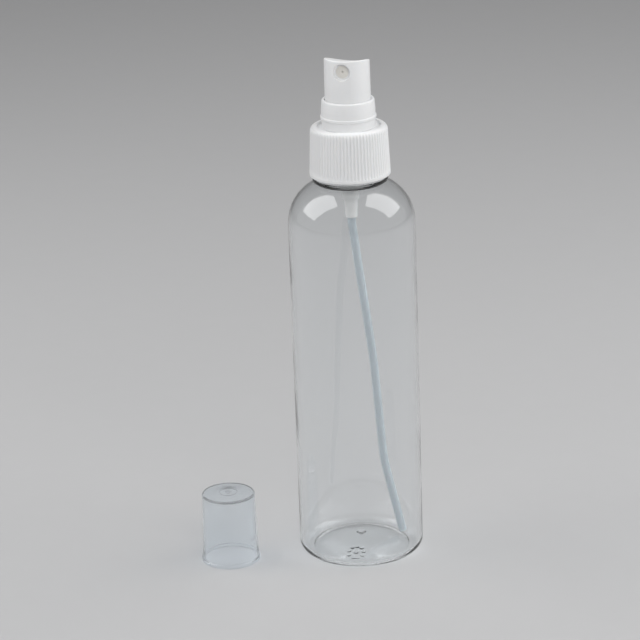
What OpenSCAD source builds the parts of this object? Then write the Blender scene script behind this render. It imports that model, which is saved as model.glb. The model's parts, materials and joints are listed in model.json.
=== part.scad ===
// Fine-mist spray bottle: a clear round bottle, a screw-on finger pump and a loose overcap.
// Millimetres, +Z up. The origin is the middle of the bottle's foot, on the surface it stands on.
// The nozzle looks along -Y, turned a little towards -X.

/* [Bottle] */
// Outer diameter of the straight body
body_d = 44.2; // [36:0.1:60]
// Height at which the straight wall ends and the shoulder begins
body_h = 122; // [60:0.5:180]
// Thickness of the blown wall
body_wall = 0.8; // [0.5:0.05:1.5]
// Thickness of the base
base_wall = 1.1; // [0.8:0.05:2]
// Radius of the rounded heel
heel_r = 3.8; // [2:0.1:5]
// Width of the flat ring that the bottle stands on
foot_w = 1.2; // [0.6:0.1:2]
// Height of the push-up in the middle of the base
punt_h = 4.6; // [2:0.1:6]
// Radius of the domed shoulder
shoulder_r = 16; // [10:0.1:17]
// Diameter of the short waist between the shoulder and the neck ring
waist_d = 24.2; // [23:0.1:26]
// Height of the waist
waist_h = 0.5; // [0.3:0.1:3]
// Diameter of the neck support ring
ring_d = 26.2; // [26:0.1:30]
// Thickness of the neck support ring
ring_t = 1.3; // [0.8:0.1:2.5]
// Outer diameter of the neck finish, at the root of its thread
finish_d = 21.4; // [21:0.1:22]
// Height of the neck finish above its ring
finish_h = 14.2; // [14:0.1:17]
// Wall of the neck finish
finish_wall = 1.8; // [1.2:0.05:2.2]

/* [Closure] */
// Gap between the closure and the neck ring
closure_gap = 0.8; // [0.4:0.1:3]
// Wall of the closure at its lower edge
closure_wall_low = 1.85; // [1.5:0.05:4]
// Wall that its taper would reach at the top edge
closure_wall_top = 1.15; // [0.9:0.05:3]
// Radius of the rounded top edge
closure_edge_r = 1.9; // [0.8:0.1:2]
// Thickness of the web that clamps the pump
closure_web = 1.4; // [1:0.1:2]
// Depth of the trough round the collar
trough_depth = 0.7; // [0.3:0.1:1]
// Width of the flat crest between the rounded edge and the trough
crest_w = 0.4; // [0.2:0.1:1]
// Gap between the closure's bore and the neck finish, which the thread fills
thread_gap = 1.45; // [1.2:0.05:1.5]
// Number of grip ribs
rib_count = 72; // [36:1:90]
// Depth of the grooves between the ribs
rib_depth = 0.35; // [0.2:0.05:0.5]
// Plain shoulder above the ribs
rib_top_gap = 3; // [2.2:0.1:5]
// Plain rim below the ribs
rim_h = 1.2; // [0.6:0.1:3]

/* [Collar] */
// Height of the collar above the closure's trough
collar_h = 9.8; // [8.8:0.1:12]
// Wall of the collar at its top
collar_wall = 0.8; // [0.6:0.05:1.2]
// Growth of the collar's radius from its top down to the land
collar_flare = 0.28; // [0.1:0.02:0.5]
// Height of the land that holds the overcap
land_h = 2; // [1.5:0.1:3]
// How far the stop bead under the land stands out
bead_out = 0.3; // [0.2:0.05:0.5]
// Height of the stop bead
bead_h = 1.2; // [0.8:0.1:1.6]
// Height of the foot below the bead
collar_foot_h = 3; // [2.4:0.1:4]
// Thickness of the collar's floor
collar_floor = 1.2; // [0.8:0.1:1.6]
// Wall of the hub that grips the pump housing
hub_wall = 1; // [0.8:0.1:1.1]
// Thickness of the hub's top, which guides the stem
hub_top = 1; // [0.8:0.1:1.5]

/* [Actuator] */
// Diameter of the actuator's lower edge
actuator_d_low = 15.9; // [15.2:0.05:17.5]
// Diameter of the actuator at its top
actuator_d_top = 15.56; // [14.6:0.02:16.4]
// Height of the actuator
actuator_h = 18.6; // [17.5:0.1:22]
// Wall of its skirt
skirt_wall = 1.05; // [0.8:0.05:1.2]
// Depth of the finger rest at the back of the top
rest_depth = 2.5; // [1:0.1:3]
// Radius of the finger rest's hollow
rest_r = 14; // [10:0.5:20]
// Direction of the nozzle, measured from -Y towards -X, in degrees
nozzle_turn = 15.5; // [0:0.5:40]
// Height of the nozzle below the top edge
nozzle_drop = 4; // [3.6:0.1:5]
// Diameter of the nozzle recess at its floor
recess_d = 5.4; // [4.8:0.1:6]
// How much wider the recess is at its mouth
recess_flare = 0.8; // [0.2:0.1:1.2]
// Depth of the nozzle recess
recess_depth = 1.3; // [0.8:0.1:1.8]
// Diameter of the nozzle insert
insert_d = 4.4; // [4:0.1:5]
// Length of the nozzle insert
insert_len = 2.8; // [2.2:0.1:3.4]
// Thickness of the insert's face
insert_face = 0.6; // [0.4:0.05:0.9]
// Diameter of the pin inside the nozzle insert
swirl_pin_d = 2; // [1.6:0.1:2.4]
// Gap between the pin and the cup of the insert
cup_gap = 0.15; // [0.1:0.01:0.2]
// Diameter of the spray orifice
orifice_d = 0.4; // [0.3:0.05:0.6]
// Diameter of the actuator's liquid channels
channel_d = 1.4; // [1:0.1:1.8]
// Diameter of the feed channel beside the pin
feed_d = 0.8; // [0.6:0.1:1]
// Wall of the post that takes the stem
post_wall = 1.1; // [0.8:0.1:1.4]
// Wall of the boss under the insert
boss_wall = 2; // [1.5:0.1:2.4]

/* [Pump] */
// Travel of the actuator
stroke = 4.6; // [3:0.1:5]
// How far the housing's flange stays inside the neck finish's outline
flange_inset = 0.4; // [0:0.05:1]
// Thickness of the flange
flange_t = 1.2; // [0.8:0.1:2]
// Thickness of the neck gasket
gasket_t = 0.8; // [0.5:0.1:1.2]
// Bore of the pump cylinder
cylinder_bore = 6.8; // [6.2:0.1:7.4]
// Wall of the pump cylinder
cylinder_wall = 1.1; // [0.9:0.05:1.2]
// Extra thickness of the barrel that the collar grips
barrel_extra = 0.8; // [0.4:0.1:1]
// Height of the housing above its flange
barrel_h = 5; // [4:0.1:5.8]
// Depth of the pump cylinder below its flange
cylinder_depth = 16; // [14:0.1:18]
// Thickness of the cylinder's floor
floor_t = 1; // [0.8:0.1:1.5]
// Diameter of the inlet throat below the cylinder
throat_d = 5.2; // [4.8:0.1:5.8]
// Length of the inlet throat
throat_h = 3.2; // [3:0.1:5]
// Diameter of the valve block
block_d = 5.8; // [5.4:0.1:6.6]
// Height of the valve block
block_h = 2.9; // [2.7:0.1:4]
// Diameter of the tail at its top
tail_d_top = 4.7; // [4.3:0.05:5.4]
// Diameter of the tail at its end
tail_d_end = 4.1; // [3.7:0.05:4.5]
// Length of the tail
tail_h = 6.6; // [5:0.1:9]
// Diameter of the vent hole in the cylinder's wall
vent_d = 0.9; // [0.6:0.1:1.2]

/* [Stem, piston and springs] */
// Outer diameter of the stem
stem_d = 4.2; // [3.8:0.1:4.6]
// Bore of the stem
stem_bore = 1.9; // [1.6:0.1:2.1]
// Length of stem that the actuator grips
socket_depth = 5.5; // [4:0.1:6]
// Thickness of the stem's shoulder
shoulder_t = 0.8; // [0.6:0.1:1.2]
// Thickness of the stem seal
seal_t = 0.8; // [0.6:0.1:1]
// Height of the piston
piston_h = 4.6; // [4:0.1:5]
// Thickness of the piston's lips
lip_t = 0.35; // [0.25:0.05:0.45]
// Height of the piston's lips
lip_h = 0.8; // [0.6:0.1:1]
// Length of the precompression spring
upper_spring_h = 2.6; // [2.2:0.1:3]
// Slip of the piston on the valve rod, up to the stem's sleeve
piston_slip = 0.4; // [0.2:0.05:0.6]
// Diameter of the valve rod
rod_d = 2.1; // [2:0.1:2.4]
// Thickness of the valve rod's flange
rod_flange = 1.2; // [0.8:0.1:1.6]
// Width of the seat that the piston closes on it
rod_seat_w = 0.5; // [0.3:0.05:0.7]
// Width of the valve rod's flutes
flute_w = 0.5; // [0.3:0.1:0.6]
// Length of the valve rod's nose inside the return spring
nose_len = 3; // [2:0.1:4]
// Outer diameter of the return spring
spring_d = 5.8; // [5.2:0.1:6]
// Wire of the return spring
spring_wire = 0.5; // [0.3:0.05:0.6]
// Turns of the return spring
spring_turns = 7; // [5:1:9]
// Wire of the precompression spring
upper_wire = 0.35; // [0.25:0.05:0.4]
// Turns of the precompression spring
upper_turns = 3; // [2:1:4]
// Diameter of the inlet ball
ball_d = 2.6; // [2.4:0.1:2.8]
// Lift of the inlet ball
ball_lift = 0.7; // [0.4:0.1:0.9]

/* [Dip tube] */
// Outer diameter of the dip tube
tube_d = 2.9; // [2.6:0.1:3.2]
// Wall of the dip tube
tube_wall = 0.5; // [0.4:0.05:0.7]
// Length of tube inside the housing's tail
tube_grip = 6; // [4:0.1:6.4]
// Direction in which the tube leans, measured from +X towards +Y, in degrees
tube_turn = 8; // [-90:1:90]
// Angle of the tube's first bend, just below the housing, in degrees
tube_lean = 7; // [3:0.5:9]
// Radius of that bend
tube_lean_r = 25; // [15:1:40]
// Share of the tube's fall that is straight below that bend
tube_upper_share = 0.366; // [0.2:0.01:0.45]
// Angle of the slow bow that turns the tube back towards the vertical, in degrees
tube_bow = 3; // [0.5:0.5:4]
// Radius of the bow
tube_bow_r = 150; // [100:10:200]
// Share of the tube's fall that is straight below the bow
tube_lower_share = 0.239; // [0.1:0.01:0.3]
// Radius of the last bend, which turns the tube towards the heel
tube_foot_r = 60; // [40:1:80]
// How far inside the foot's edge the tube ends
tube_foot_inset = 3.1; // [2.5:0.1:6]
// Gap between the base and the middle of the tube's end
tube_end_gap = 2.15; // [1:0.05:6]

/* [Overcap] */
// Height of the overcap
cap_h = 25.4; // [24.4:0.1:30]
// How far the lip flares out from the wall
cap_lip_out = 0.42; // [0.2:0.02:1]
// Height of the lip
cap_lip_h = 1.5; // [1.3:0.1:2.5]
// Wall of the overcap
cap_wall = 0.6; // [0.5:0.05:1]
// Draft: how much smaller the radius is at the closed end than above the lip
cap_draft = 0.58; // [0.2:0.02:0.9]
// Height of the straight seat inside the mouth
cap_seat_h = 2.5; // [2:0.1:4]
// Thickness of the closed end
cap_end = 0.9; // [0.6:0.1:1.5]
// Radius of the closed end's edge
cap_edge_r = 0.9; // [0.5:0.1:1]
// Clear space between the bottle and the overcap standing beside it
cap_away = 15; // [5:0.5:60]
// Direction in which the overcap stands, measured from -X towards -Y, in degrees
cap_turn = 9; // [-60:1:90]

/* [Fits] */
// Radial clearance of sliding pieces
slide_gap = 0.1; // [0.05:0.01:0.15]
// Radial clearance between the actuator and the collar
guide_gap = 0.3; // [0.2:0.05:0.35]
// Radial clearance between the actuator's socket and the stem it turns on
turn_gap = 0.04; // [0.02:0.01:0.08]
// Play of the trapped closure between the collar and the housing
closure_play = 0.1; // [0.05:0.05:0.2]
// Radial clearance of the overcap on the collar's land
cap_gap = 0.1; // [0.05:0.01:0.15]
// Clearance of pieces that rest loosely on one another
rest_gap = 0.05; // [0.02:0.01:0.1]
// Radius of the top edges of the collar and the actuator
top_edge_r = 0.6; // [0.3:0.05:0.6]
// Chamfer of small moulded edges
chamfer = 0.3; // [0.1:0.05:0.4]

/* [Hidden] */
$fn = 96;
// How far a cutting shape runs past the face that it cuts
over = 1;

// Bottle, from the foot up
body_r = body_d / 2;
foot_r = body_r - heel_r;
punt_r = foot_r - foot_w;
shoulder_axis = body_r - shoulder_r;
waist_r = waist_d / 2;
dome_angle = acos((waist_r - shoulder_axis) / shoulder_r);
waist_z = body_h + shoulder_r * sin(dome_angle);
ring_z = waist_z + waist_h;
finish_z = ring_z + ring_t;
lip_z = finish_z + finish_h;
neck_bore_r = finish_d / 2 - finish_wall;

// The push-up is a spherical cap, and the base's inside follows it
punt_ball_r = (pow(punt_r, 2) + pow(punt_h, 2)) / (2 * punt_h);
punt_ball_z = punt_h - punt_ball_r;
floor_ball_r = punt_ball_r + base_wall;

// Pump levels, from the bottle's lip
flange_z = lip_z + gasket_t;
web_z = flange_z + flange_t;
trough_z = web_z + closure_web;
closure_top = trough_z + trough_depth;
closure_low = finish_z + closure_gap;
closure_h = closure_top - closure_low;
closure_bore_r = finish_d / 2 + thread_gap;
closure_low_r = closure_bore_r + closure_wall_low;
closure_top_r = closure_bore_r + closure_wall_top;
crest_r = closure_top_r - closure_edge_r;
collar_z = trough_z + closure_play;
collar_top = collar_z + collar_h;
bead_z = collar_z + collar_foot_h;
land_z = bead_z + bead_h;
guide_r = actuator_d_low / 2 + guide_gap;
collar_r_top = guide_r + collar_wall;
land_r = collar_r_top + collar_flare;
bead_r = land_r + bead_out;

// Inside the pump
cylinder_r = cylinder_bore / 2;
cylinder_out_r = cylinder_r + cylinder_wall;
flange_r = finish_d / 2 - flange_inset;
barrel_r = cylinder_out_r + barrel_extra;
hub_r = barrel_r + hub_wall;
barrel_top = web_z + barrel_h;
seal_z = barrel_top;
hub_z = seal_z + seal_t;
hub_top_z = hub_z + hub_top;
shoulder_z = seal_z - rest_gap - shoulder_t;
piston_top = shoulder_z - upper_spring_h;
sleeve_z = piston_top + piston_slip + rest_gap;
piston_z = piston_top - piston_h;
rod_z = piston_z - rest_gap - rod_flange;
travel_r = cylinder_r - 3 * slide_gap;
cylinder_z = flange_z - cylinder_depth;
floor_z = cylinder_z - floor_t;
throat_z = floor_z - throat_h;
block_z = throat_z - block_h;
tail_z = block_z - tail_h;

// Actuator levels: pressed down, its skirt and post stop just above the collar
press_gap = 4 * rest_gap;
actuator_z = collar_z + collar_floor + stroke + press_gap;
actuator_top = actuator_z + actuator_h;
post_z = hub_top_z + stroke + press_gap;
stem_top = post_z + socket_depth;
nozzle_z = actuator_top - nozzle_drop;
feed_r = (insert_d + swirl_pin_d) / 4 - cup_gap;

// Inlet valve
ball_r = ball_d / 2;
ball_room = 0.35;
seat_land = 0.5;
chamber_r = ball_r + ball_room;
throat_bore_r = chamber_r - 2 * slide_gap;
seat_hole_r = ball_r * 0.6;
tube_top = tail_z + tube_grip;
seat_z = tube_top + seat_land;
ball_z = seat_z - seat_hole_r + ball_r * sqrt(2) + rest_gap;
cage_lip_r = ball_r - slide_gap;
cage_lip_z = ball_z + ball_lift + sqrt(pow(ball_r, 2) - pow(cage_lip_r, 2)) + rest_gap;

// The dip tube ends above the inside of the base, near the heel
tube_reach = foot_r - tube_foot_inset;
tube_end_z = punt_ball_z + sqrt(pow(floor_ball_r, 2) - pow(tube_reach, 2)) + tube_end_gap;
tube_fall = tube_top - tube_end_z;

// Its first bends: straight length before a bend, angle of the bend, radius of the bend
TUBE_BENDS = [
    [tube_grip + seat_land, tube_lean, tube_lean_r], [tube_upper_share * tube_fall, -tube_bow, tube_bow_r]
];

// Points of an arc, from angle a to angle b
function arc(cx, cy, r, a, b, n = 8) =
    [for (i = [0:n]) let (t = a + (b - a) * i / n) [cx + r * cos(t), cy + r * sin(t)]];

// Point on a helix with flat ground ends, at fraction t of its length
function coil_point(r, h, wire, turns, t) =
    let (
        a = 360 * turns * t,
        flat = 0.75,
        rise = max(0, min(1, (t * turns - flat) / (turns - 2 * flat)))
    )
    [r * cos(a), r * sin(a), wire / 2 + (h - wire) * rise];

// A round wire swept along a coil of outer diameter d and height h
module coil(d, h, wire, turns, sides = 8, steps = 18) {
    r = (d - wire) / 2;
    rings = turns * steps;
    points = [
        for (i = [0:rings])
            let (t = i / rings, p = coil_point(r, h, wire, turns, t), a = 360 * turns * t)
                for (k = [0:sides - 1])
                    let (b = 360 * k / sides, u = wire / 2 * cos(b))
                        [p[0] + u * cos(a), p[1] + u * sin(a), p[2] + wire / 2 * sin(b)]
    ];
    walls = [
        for (i = [0:rings - 1], k = [0:sides - 1])
            let (j = (k + 1) % sides, a = i * sides, b = a + sides)
                [a + k, b + k, b + j, a + j]
    ];
    start = [for (k = [0:sides - 1]) k];
    end = [for (k = [sides - 1:-1:0]) rings * sides + k];
    polyhedron(points, concat([start], walls, [end]));
}

// Stations along a tube that hangs from the origin: [x, z, angle from the vertical].
// Each bend is [straight length before it, angle, radius], and bend_steps stations divide it.
// The last straight length may be 0, where more bends follow.
function stations(bends, last_len, x = 0, z = 0, a = 0, i = 0) =
    i == len(bends) ? [[x, z, a], [x + last_len * sin(a), z - last_len * cos(a), a]] :
    let (
        x1 = x + bends[i][0] * sin(a),
        z1 = z - bends[i][0] * cos(a),
        turn = bends[i][1],
        r = bends[i][2] * sign(turn),
        bend_steps = 4
    )
    concat(
        [[x, z, a]],
        [for (k = [0:bend_steps - 1]) let (b = a + turn * k / bend_steps)
            [x1 + r * (cos(a) - cos(b)), z1 - r * (sin(b) - sin(a)), b]],
        stations(
            bends, last_len, x1 + r * (cos(a) - cos(a + turn)),
            z1 - r * (sin(a + turn) - sin(a)), a + turn, i + 1
        )
    );

// A hollow tube through a list of stations
module swept_tube(path, d, bore, sides = 24) {
    rings = len(path);
    points = [
        for (r = [d / 2, bore / 2], s = path, k = [0:sides - 1])
            let (u = r * cos(360 * k / sides))
                [s[0] + u * cos(s[2]), r * sin(360 * k / sides), s[1] + u * sin(s[2])]
    ];
    function at(wall, ring, k) = (wall * rings + ring) * sides + k % sides;
    polyhedron(points, [
        for (k = [0:sides - 1]) each concat(
            [[at(0, 0, k), at(1, 0, k), at(1, 0, k + 1), at(0, 0, k + 1)]],
            [for (i = [0:rings - 2]) each [
                [at(0, i, k), at(0, i, k + 1), at(0, i + 1, k + 1), at(0, i + 1, k)],
                [at(1, i, k), at(1, i + 1, k), at(1, i + 1, k + 1), at(1, i, k + 1)]
            ]],
            [[at(0, rings - 1, k), at(0, rings - 1, k + 1), at(1, rings - 1, k + 1), at(1, rings - 1, k)]]
        )
    ]);
}

// Half section of the bottle, grown inwards by the wall: 0 gives the outside
function bottle_outline(wall, neck_r, low_z) =
    let (heel = heel_r - wall, dome = shoulder_r - wall)
    concat(
        arc(foot_r, low_z + heel, heel, -90, 0),
        arc(shoulder_axis, body_h, dome, 0, acos((neck_r - shoulder_axis) / dome), 16)
    );

// The blown body, up to the underside of the neck ring
module bottle() {
    color([0.86, 0.9, 0.92, 0.35])
        rotate_extrude()
            difference() {
                polygon(concat(
                    arc(0, punt_ball_z, punt_ball_r, 90, 90 - asin(punt_r / punt_ball_r), 12),
                    bottle_outline(0, waist_r, 0),
                    [[waist_r, ring_z], [0, ring_z]]
                ));
                polygon(concat(
                    arc(
                        0, punt_ball_z, floor_ball_r, 90,
                        90 - acos((base_wall - punt_ball_z) / floor_ball_r), 12
                    ),
                    bottle_outline(body_wall, neck_bore_r, base_wall),
                    [[neck_bore_r, ring_z + over], [0, ring_z + over]]
                ));
            }
}

// The neck above the body: the support ring and the finish that the closure screws onto
module neck_finish() {
    neck_r = finish_d / 2;
    ring_r = ring_d / 2;
    color([0.86, 0.9, 0.92, 0.35])
        rotate_extrude()
            polygon([
                [neck_bore_r, ring_z], [waist_r, ring_z], [ring_r, ring_z + chamfer],
                [ring_r, finish_z - chamfer], [ring_r - chamfer, finish_z], [neck_r, finish_z],
                [neck_r, lip_z - chamfer], [neck_r - chamfer, lip_z], [neck_bore_r, lip_z]
            ]);
}

module closure() {
    taper = (closure_low_r - closure_top_r) / closure_h;
    hole_r = barrel_r + 3 * slide_gap;
    color("white")
        difference() {
            rotate_extrude()
                polygon(concat(
                    [
                        [closure_bore_r + chamfer, closure_low],
                        [closure_low_r - chamfer, closure_low],
                        [closure_low_r, closure_low + chamfer]
                    ],
                    arc(crest_r, closure_top - closure_edge_r, closure_edge_r, 0, 90),
                    [
                        [crest_r - crest_w, closure_top], [crest_r - crest_w - chamfer, trough_z],
                        [hole_r, trough_z], [hole_r, web_z],
                        [closure_bore_r, web_z], [closure_bore_r, closure_low + chamfer]
                    ]
                ));
            // Grooves between the grip ribs, leaning with the taper
            for (i = [0:rib_count - 1])
                rotate([0, 0, 360 * i / rib_count])
                    translate([closure_low_r - taper * rim_h, 0, closure_low + rim_h])
                        rotate([0, -atan(taper), 0])
                            cylinder(r = rib_depth, h = closure_h - rim_h - rib_top_gap, $fn = 4);
        }
}

module collar() {
    foot_r = land_r - slide_gap;
    stem_hole_r = stem_d / 2 + slide_gap;
    color("white")
        rotate_extrude()
            polygon(concat(
                [
                    [barrel_r, collar_z], [foot_r, collar_z], [foot_r, bead_z],
                    [bead_r, bead_z + bead_out], [bead_r, land_z - bead_out / 2],
                    [bead_r - bead_out / 2, land_z], [land_r, land_z], [land_r, land_z + land_h]
                ],
                arc(collar_r_top - top_edge_r, collar_top - top_edge_r, top_edge_r, 0, 90, 4),
                [
                    [guide_r, collar_top], [guide_r, collar_z + collar_floor],
                    [hub_r, collar_z + collar_floor], [hub_r, hub_top_z - chamfer],
                    [hub_r - chamfer, hub_top_z], [stem_hole_r, hub_top_z],
                    [stem_hole_r, hub_z], [barrel_r, hub_z]
                ]
            ));
}

// Places its children at the nozzle, with +Z pointing out of it
module at_nozzle() {
    rotate([0, 0, -nozzle_turn])
        translate([0, -actuator_d_top / 2, nozzle_z]) rotate([90, 0, 0]) children();
}

module actuator() {
    low_r = actuator_d_low / 2;
    top_r = actuator_d_top / 2;
    post_r = stem_d / 2 + post_wall;
    boss_low = nozzle_z - insert_d / 2 - boss_wall;
    seat_depth = recess_depth + insert_len;
    pin_len = insert_len - insert_face - slide_gap;
    color("white")
        difference() {
            union() {
                difference() {
                    rotate_extrude()
                        polygon(concat(
                            [[0, actuator_z], [low_r, actuator_z]],
                            arc(top_r - top_edge_r, actuator_top - top_edge_r, top_edge_r, 0, 90, 4),
                            [[0, actuator_top]]
                        ));
                    // Hollow skirt, and a deeper pocket behind the nozzle boss
                    translate([0, 0, actuator_z - over])
                        cylinder(r = low_r - skirt_wall, h = boss_low - actuator_z + over);
                    intersection() {
                        translate([0, 0, boss_low - over])
                            cylinder(r = top_r - skirt_wall, h = nozzle_z - boss_low + over);
                        rotate([0, 0, -nozzle_turn]) translate([-low_r, post_r, boss_low - 2 * over])
                            cube([2 * low_r, low_r, actuator_h]);
                    }
                }
                translate([0, 0, post_z]) cylinder(r = post_r, h = nozzle_z - post_z);
            }
            // Finger rest, level with the front edge and deepest at the back
            rotate([0, 0, -nozzle_turn])
                translate([0, -top_r, actuator_top]) rotate([-atan(rest_depth / actuator_d_top), 0, 0])
                    translate([0, -top_r, rest_r]) rotate([-90, 0, 0])
                        cylinder(r = rest_r, h = 2 * actuator_d_top, $fn = 128);
            // Stem socket and rising channel
            translate([0, 0, post_z - over])
                cylinder(r = stem_d / 2 + turn_gap, h = socket_depth + over);
            translate([0, 0, post_z])
                cylinder(d = channel_d, h = nozzle_z + feed_r + feed_d / 2 - post_z);
            // Recess, seat of the insert round its pin, and the channel that feeds it
            at_nozzle() {
                translate([0, 0, -recess_depth])
                    cylinder(d1 = recess_d, d2 = recess_d + recess_flare, h = recess_depth + over);
                difference() {
                    translate([0, 0, -seat_depth]) cylinder(d = insert_d, h = insert_len + over / 2);
                    translate([0, 0, -seat_depth - over]) cylinder(d = swirl_pin_d, h = pin_len + over);
                }
                translate([0, feed_r, -top_r])
                    cylinder(d = feed_d, h = top_r - seat_depth + 2 * slide_gap);
            }
        }
}

module nozzle_insert() {
    cup_r = swirl_pin_d / 2 + cup_gap;
    color([0.94, 0.92, 0.88])
        at_nozzle()
            translate([0, 0, -recess_depth - insert_len])
                difference() {
                    cylinder(d = insert_d, h = insert_len);
                    translate([0, 0, -over]) cylinder(r = cup_r, h = insert_len - insert_face + over);
                    cylinder(d = orifice_d, h = insert_len + over);
                    translate([0, 0, insert_len - chamfer])
                        cylinder(r1 = orifice_d / 2, r2 = orifice_d / 2 + 2 * chamfer, h = chamfer + 0.01);
                    // Slot that leads the liquid into the cup
                    translate([-feed_d / 2, 0, -over])
                        cube([feed_d, feed_r + feed_d / 2, feed_d + over]);
                }
}

module stem() {
    bore_r = stem_bore / 2;
    out_r = stem_d / 2;
    sleeve_r = out_r - slide_gap;
    color("white")
        rotate_extrude()
            polygon([
                [bore_r, sleeve_z], [sleeve_r, sleeve_z], [sleeve_r, shoulder_z],
                [travel_r, shoulder_z], [travel_r, shoulder_z + shoulder_t],
                [out_r, shoulder_z + shoulder_t], [out_r, stem_top - chamfer],
                [out_r - chamfer, stem_top], [bore_r, stem_top]
            ]);
}

module stem_seal() {
    color([0.25, 0.25, 0.27])
        translate([0, 0, seal_z])
            difference() {
                cylinder(r = barrel_r - rest_gap, h = seal_t);
                translate([0, 0, -over]) cylinder(r = stem_d / 2 + slide_gap, h = seal_t + 2 * over);
            }
}

module piston() {
    bore_r = rod_d / 2 + slide_gap;
    seat_r = bore_r + rod_seat_w + slide_gap;
    lip_r = cylinder_r - slide_gap;
    waist = lip_r - 2 * lip_t;
    low = piston_z;
    top = piston_top;
    // Thin lips seal the cylinder above and below; the bottom edge of the core seats on the rod
    color([0.93, 0.94, 0.95])
        rotate_extrude()
            polygon([
                [bore_r, low], [seat_r, low], [waist - lip_t, low + lip_h],
                [lip_r - lip_t, low + slide_gap], [lip_r, low + slide_gap], [lip_r, low + lip_h],
                [waist, low + 2 * lip_h], [waist, top - 2 * lip_h], [lip_r, top - lip_h],
                [lip_r, top - slide_gap], [lip_r - lip_t, top - slide_gap],
                [waist - slide_gap, top - lip_h], [waist - slide_gap, top], [bore_r, top]
            ]);
}

module piston_spring() {
    color([0.75, 0.76, 0.78])
        translate([0, 0, piston_top])
            coil(stem_d + 2 * upper_wire, upper_spring_h, upper_wire, upper_turns);
}

module valve_rod() {
    r = rod_d / 2;
    nose_r = spring_d / 2 - spring_wire - 3 * slide_gap;
    plug_low = sleeve_z - slide_gap;
    plug_top = shoulder_z + 2 * shoulder_t;
    color([0.93, 0.94, 0.95])
        difference() {
            rotate_extrude()
                polygon([
                    [0, rod_z - nose_len], [nose_r / 2, rod_z - nose_len],
                    [nose_r, rod_z - nose_len + 2 * chamfer], [nose_r, rod_z],
                    [travel_r, rod_z], [travel_r, rod_z + rod_flange / 3],
                    [r + rod_seat_w, rod_z + rod_flange], [r, rod_z + rod_flange],
                    [r, plug_low - 2 * chamfer], [stem_bore / 2, plug_low], [stem_bore / 2, plug_top],
                    [0, plug_top]
                ]);
            // Flutes that let the liquid past the plug into the stem
            for (a = [0, 90])
                rotate([0, 0, a])
                    difference() {
                        translate([-rod_d, -flute_w / 2, piston_z + piston_h / 2])
                            cube([2 * rod_d, flute_w, stem_top - piston_z]);
                        translate([0, 0, piston_z]) cylinder(r = r / 2, h = stem_top - piston_z);
                    }
        }
}

module return_spring() {
    color([0.75, 0.76, 0.78])
        translate([0, 0, cylinder_z])
            coil(spring_d, rod_z - cylinder_z, spring_wire, spring_turns);
}

module housing() {
    tube_r = tube_d / 2;
    color([0.92, 0.93, 0.94])
        difference() {
            rotate_extrude()
                difference() {
                    polygon([
                        [0, tail_z], [tail_d_end / 2, tail_z], [tail_d_top / 2, block_z],
                        [block_d / 2, block_z], [block_d / 2, throat_z], [throat_d / 2, throat_z],
                        [throat_d / 2, floor_z], [cylinder_out_r - chamfer, floor_z],
                        [cylinder_out_r, floor_z + chamfer], [cylinder_out_r, flange_z],
                        [flange_r, flange_z], [flange_r, web_z], [barrel_r, web_z],
                        [barrel_r, barrel_top], [0, barrel_top]
                    ]);
                    // Tube socket, ball seat, ball cage, inlet throat and cylinder
                    polygon([
                        [0, tail_z - over], [tube_r, tail_z - over], [tube_r, tube_top],
                        [seat_hole_r, tube_top], [seat_hole_r, seat_z],
                        [chamber_r, seat_z + chamber_r - seat_hole_r],
                        [chamber_r, cage_lip_z], [cage_lip_r, cage_lip_z],
                        [cage_lip_r, cage_lip_z + chamfer], [throat_bore_r, cage_lip_z + 2 * chamfer],
                        [throat_bore_r, cylinder_z], [cylinder_r, cylinder_z],
                        [cylinder_r, barrel_top + over], [0, barrel_top + over]
                    ]);
                }
            // Vent hole, which the resting piston keeps shut
            translate([0, 0, piston_z + piston_h / 2]) rotate([90, 0, 0])
                cylinder(d = vent_d, h = cylinder_out_r + over);
        }
}

module inlet_ball() {
    color([0.7, 0.72, 0.74]) translate([0, 0, ball_z]) sphere(d = ball_d, $fn = 48);
}

module neck_gasket() {
    color([0.85, 0.86, 0.88])
        translate([0, 0, lip_z])
            difference() {
                cylinder(r = flange_r, h = gasket_t);
                translate([0, 0, -over])
                    cylinder(r = cylinder_out_r + slide_gap, h = gasket_t + 2 * over);
            }
}

module dip_tube() {
    upper = stations(TUBE_BENDS, tube_lower_share * tube_fall);
    from = upper[len(upper) - 1];
    // The last bend's angle follows from where the tube has to end
    middle = [from[0] + tube_foot_r * cos(from[2]), from[1] + tube_foot_r * sin(from[2])];
    reach = [tube_reach, -tube_fall] - middle;
    last_len = sqrt(reach * reach - pow(tube_foot_r, 2));
    heading = atan2(reach[1], reach[0]) + 90 + atan2(tube_foot_r, last_len);
    lower = stations([[0, heading - from[2], tube_foot_r]], last_len, from[0], from[1], from[2]);
    color([0.72, 0.78, 0.82, 0.8])
        translate([0, 0, tube_top]) rotate([0, 0, tube_turn])
            swept_tube(
                concat(upper, [for (i = [2:len(lower) - 1]) lower[i]]),
                tube_d, tube_d - 2 * tube_wall
            );
}

module overcap() {
    seat_r = land_r + cap_gap;
    low_r = seat_r + cap_wall;
    lip_r = low_r + cap_lip_out;
    top_r = low_r - cap_draft;
    edge = cap_edge_r;
    color([0.8, 0.85, 0.9, 0.4])
        rotate([0, 0, cap_turn]) translate([-body_r - cap_away - lip_r, 0, 0])
            rotate_extrude()
                polygon(concat(
                    [
                        [lip_r - cap_wall, 0], [lip_r - chamfer, 0], [lip_r, chamfer],
                        [lip_r, cap_lip_h - cap_lip_out], [low_r, cap_lip_h]
                    ],
                    arc(top_r - edge, cap_h - edge, edge, 0, 90),
                    [[0, cap_h], [0, cap_h - cap_end]],
                    arc(top_r - edge, cap_h - cap_end - edge + cap_wall, edge - cap_wall, 90, 0, 4),
                    [[seat_r, cap_lip_h + cap_seat_h], [seat_r, cap_lip_h],
                        [lip_r - cap_wall, cap_lip_h - chamfer]]
                ));
}

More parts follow.
